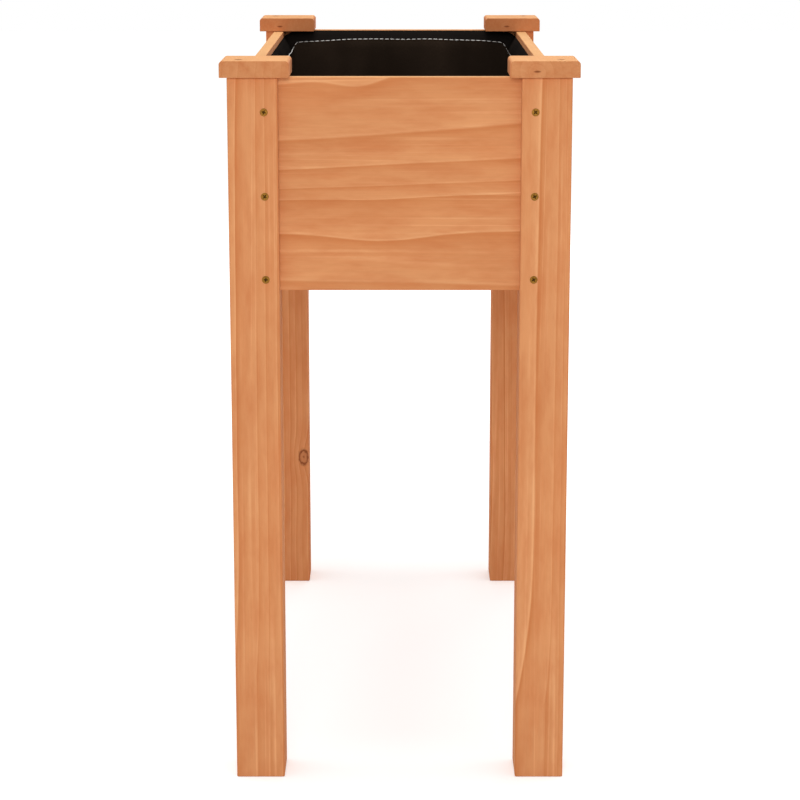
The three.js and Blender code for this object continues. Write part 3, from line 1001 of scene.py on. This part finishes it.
def makeLiner(material):
    size = linerSettings
    stations = linerStations()
    shape = bmesh.new()
    rings, hem = [], []
    foot = [linerPoint(station, 0) for station in stations]
    centre = sum(foot, Vector()) / len(foot)
    for ring in range(1, size["floorRings"] + 1):
        share = ring / (size["floorRings"] + 1)
        circle = []
        for point in foot:
            place = centre.lerp(point, share)
            wave = size["floorWave"] * abs(noise.noise(place * size["floorWaveScale"]))
            place.z += wave * (1 - share) ** 0.5
            circle.append(shape.verts.new(place))
            hem.append(1)
        rings.append(circle)
    sewn = [(linerPoint(station, 1).z, stitchDepth(station)) for station in stations]
    for row in range(size["rows"] + 1):
        points = [linerPoint(station, row / size["rows"]) for station in stations]
        rings.append([shape.verts.new(point) for point in points])
        hem.extend(rim - point.z - depth for point, (rim, depth) in zip(points, sewn))
    count = len(stations)
    for lower, upper in zip(rings, rings[1:]):
        for i in range(count):
            shape.faces.new((lower[i - 1], lower[i], upper[i], upper[i - 1]))
    middle = shape.verts.new(centre)
    hem.append(1)
    for i in range(count):
        shape.faces.new((middle, rings[0][i - 1], rings[0][i]))
    bmesh.ops.recalc_face_normals(shape, faces=shape.faces)
    flatArea = sum(face.calc_area() for face in shape.faces)
    mesh = bpy.data.meshes.new("bag")
    shape.to_mesh(mesh)
    shape.free()
    mesh.attributes.new("underHem", "FLOAT", "POINT").data.foreach_set("value", hem)
    bag = addPiece("bag", mesh, material)
    for face in mesh.polygons:
        face.use_smooth = True
    wall = bag.modifiers.new("thickness", "SOLIDIFY")
    wall.thickness = size["thickness"]
    wall.offset = -1
    settle(bag)
    print("cloth area", round(flatArea, 4))
    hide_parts("liner")
    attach(bag, "root")
    return bag, stations


def feltMaterial():
    material, tree, surface = newMaterial("blackFelt")
    place = objectPlace(tree)
    fluff = grainNoise(tree, place, (1500, 1500, 1500), 3, 0.65)
    cloud = grainNoise(tree, place, (12, 12, 4), 2, 0.5)
    fluffy = spread(tree, fluff, 0.3, 0.7, 0, 1)
    color = mixColor(tree, fluffy, *linerSettings["felt"])
    # painted shade: soft dark clouds, stretched up the walls, stand in for the shadows of the folds
    color = mixColor(tree, spread(tree, cloud, 0.38, 0.68, 0, 0.6), color, linerSettings["foldShade"])
    # the hem is two layers thick and darker
    hem = spread(tree, attribute(tree, "underHem"), -0.0008, 0.0008, 0.8, 0)
    color = mixColor(tree, hem, color, linerSettings["hem"])
    bump = addNode(tree, "ShaderNodeBump", {
        "Strength": 0.6, "Distance": 0.0006, "Height": fluff})
    tree.links.new(color, surface.inputs["Base Color"])
    tree.links.new(bump.outputs[0], surface.inputs["Normal"])
    surface.inputs["Roughness"].default_value = 1.0
    surface.inputs["Specular IOR Level"].default_value = 0.0
    return material


# Stitches along the hem

def threadMaterial():
    material, tree, surface = newMaterial("hemThread")
    twist = grainNoise(tree, objectPlace(tree), (3000, 3000, 3000), 2, 0.5)
    twist = spread(tree, twist, 0.3, 0.7, 0, 1)
    color = mixColor(tree, twist, *stitchSettings["thread"])
    tree.links.new(color, surface.inputs["Base Color"])
    surface.inputs["Roughness"].default_value = 0.8
    return material


def stitchTree():
    tree, given = geometryTree("stitches", {
        "Pitch": "Float", "Length": "Float", "Width": "Float", "Thread": "Material"})
    path = addNode(tree, "GeometryNodeMeshToCurve", {"Mesh": given["Geometry"]})
    points = addNode(tree, "GeometryNodeCurveToPoints", {
        "Curve": path.outputs[0], "Length": given["Pitch"]}, mode="LENGTH")
    bead = addNode(tree, "GeometryNodeMeshUVSphere", {"Segments": 6, "Rings": 4, "Radius": 0.5})
    size = addNode(tree, "ShaderNodeCombineXYZ", {
        0: given["Length"], 1: given["Width"], 2: given["Width"]})
    showing = addNode(tree, "GeometryNodeInputNamedAttribute", {"Name": "showing"},
                      data_type="FLOAT")
    size = addNode(tree, "ShaderNodeVectorMath", {
        0: size.outputs[0], "Scale": showing.outputs[0]}, operation="SCALE")
    along = addNode(tree, "FunctionNodeAlignRotationToVector", {
        "Vector": points.outputs["Tangent"]}, axis="X")
    row = addNode(tree, "GeometryNodeInstanceOnPoints", {
        "Points": points.outputs["Points"], "Instance": bead.outputs["Mesh"],
        "Rotation": along.outputs[0], "Scale": size.outputs[0]})
    real = addNode(tree, "GeometryNodeRealizeInstances", {0: row.outputs[0]})
    sewn = addNode(tree, "GeometryNodeSetMaterial", {
        "Geometry": real.outputs[0], "Material": given["Thread"]})
    addNode(tree, "NodeGroupOutput", {"Geometry": sewn.outputs[0]})
    return tree


def makeStitches(stations):
    size = stitchSettings
    path, showing = [], []
    for station in stations:
        share = 1 - stitchDepth(station) / (linerPoint(station, 1).z - bagBase)
        inwards = -station[1] * (linerSettings["thickness"] + size["proud"])
        path.append(linerPoint(station, share) + inwards)
        facing = station[1].x
        showing.append(size["left"] if facing < -0.5 else size["right"] if facing > 0.5 else 1)
    mesh = bpy.data.meshes.new("hem_stitches")
    mesh.from_pydata(path, [(i, (i + 1) % len(path)) for i in range(len(path))], [])
    mesh.attributes.new("showing", "FLOAT", "POINT").data.foreach_set("value", showing)
    row = growFrom(addPiece("hem_stitches", mesh), stitchTree(), {
        "Pitch": size["pitch"], "Length": size["length"], "Width": size["width"],
        "Thread": threadMaterial()})
    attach(row, "root")
    return row


bag, stations = makeLiner(feltMaterial())
stitches = makeStitches(stations)
print("liner hung and sewn")


# Floor and light

roomSettings = {
    "ambient": 0.55,
}

lampSettings = {
    "front": {"place": (-0.1, -2.9, 1.35), "target": (0, -0.3, 0.45), "size": 0.9, "power": 26},
    "top": {"place": (0, -0.1, 2.9), "target": (0, 0, 0.8), "size": 1.8, "power": 30},
    "back": {"place": (0.8, 3.4, 1.6), "target": (0, 0.3, 0.5), "size": 2.2, "power": 20},
    "leftSide": {"place": (-3.2, 0.4, 1.5), "target": (0, 0, 0.5), "size": 2.2, "power": 16},
    "rightSide": {"place": (3.2, 0.4, 1.5), "target": (0, 0, 0.5), "size": 2.2, "power": 16},
}


def seenDirectly(tree):
    # 1 for the camera, and for what shines or lets light through
    rays = addNode(tree, "ShaderNodeLightPath").outputs
    shining = math2(tree, "MAXIMUM", rays["Is Glossy Ray"], rays["Is Transmission Ray"])
    return math2(tree, "MAXIMUM", rays["Is Camera Ray"], shining)


def whiteRoom():
    # white where it is seen directly, and softer where it lights the wood
    world = bpy.data.worlds.new("room")
    scene.world = world
    world.use_nodes = True
    tree = world.node_tree
    back = tree.nodes["Background"]
    back.inputs["Color"].default_value = (1, 1, 1, 1)
    strength = spread(tree, seenDirectly(tree), 0, 1, roomSettings["ambient"], 1.0)
    tree.links.new(strength, back.inputs["Strength"])


def softLamp(name, place, target, size, power):
    data = bpy.data.lights.new(name, "AREA")
    data.shape = "DISK"
    data.size = size
    data.energy = power
    lamp = bpy.data.objects.new(name, data)
    lamp.location = place
    lamp.rotation_euler = (Vector(target) - Vector(place)).to_track_quat("-Z", "Y").to_euler()
    lamp.visible_camera = False
    scene.collection.objects.link(lamp)


whiteRoom()
for name, lamp in lampSettings.items():
    softLamp(name, **lamp)

floorSettings = {
    "half": 12.0,
    "top": -0.0001,
    "bottom": -0.02,
    "color": (0.88, 0.88, 0.88, 1),
    "glow": (0.34, 0.56),        # near the planter and far off, where it is seen directly
    "glowGrows": (0.5, 1.7),     # between these distances
}


def floorMaterial():
    material, tree, surface = newMaterial("paleFloor")
    surface.inputs["Base Color"].default_value = floorSettings["color"]
    surface.inputs["Roughness"].default_value = 0.9
    surface.inputs["Specular IOR Level"].default_value = 0.0
    surface.inputs["Emission Color"].default_value = (1, 1, 1, 1)
    away = lengthOf(tree, objectPlace(tree))
    glow = spread(tree, away, *floorSettings["glowGrows"], *floorSettings["glow"])
    glow = math2(tree, "MULTIPLY", seenDirectly(tree), glow)
    tree.links.new(glow, surface.inputs["Emission Strength"])
    return material


half = floorSettings["half"]
floor = block("floor", (-half, -half, floorSettings["bottom"]),
              (half, half, floorSettings["top"]), floorMaterial())
print("floor and lamps placed")
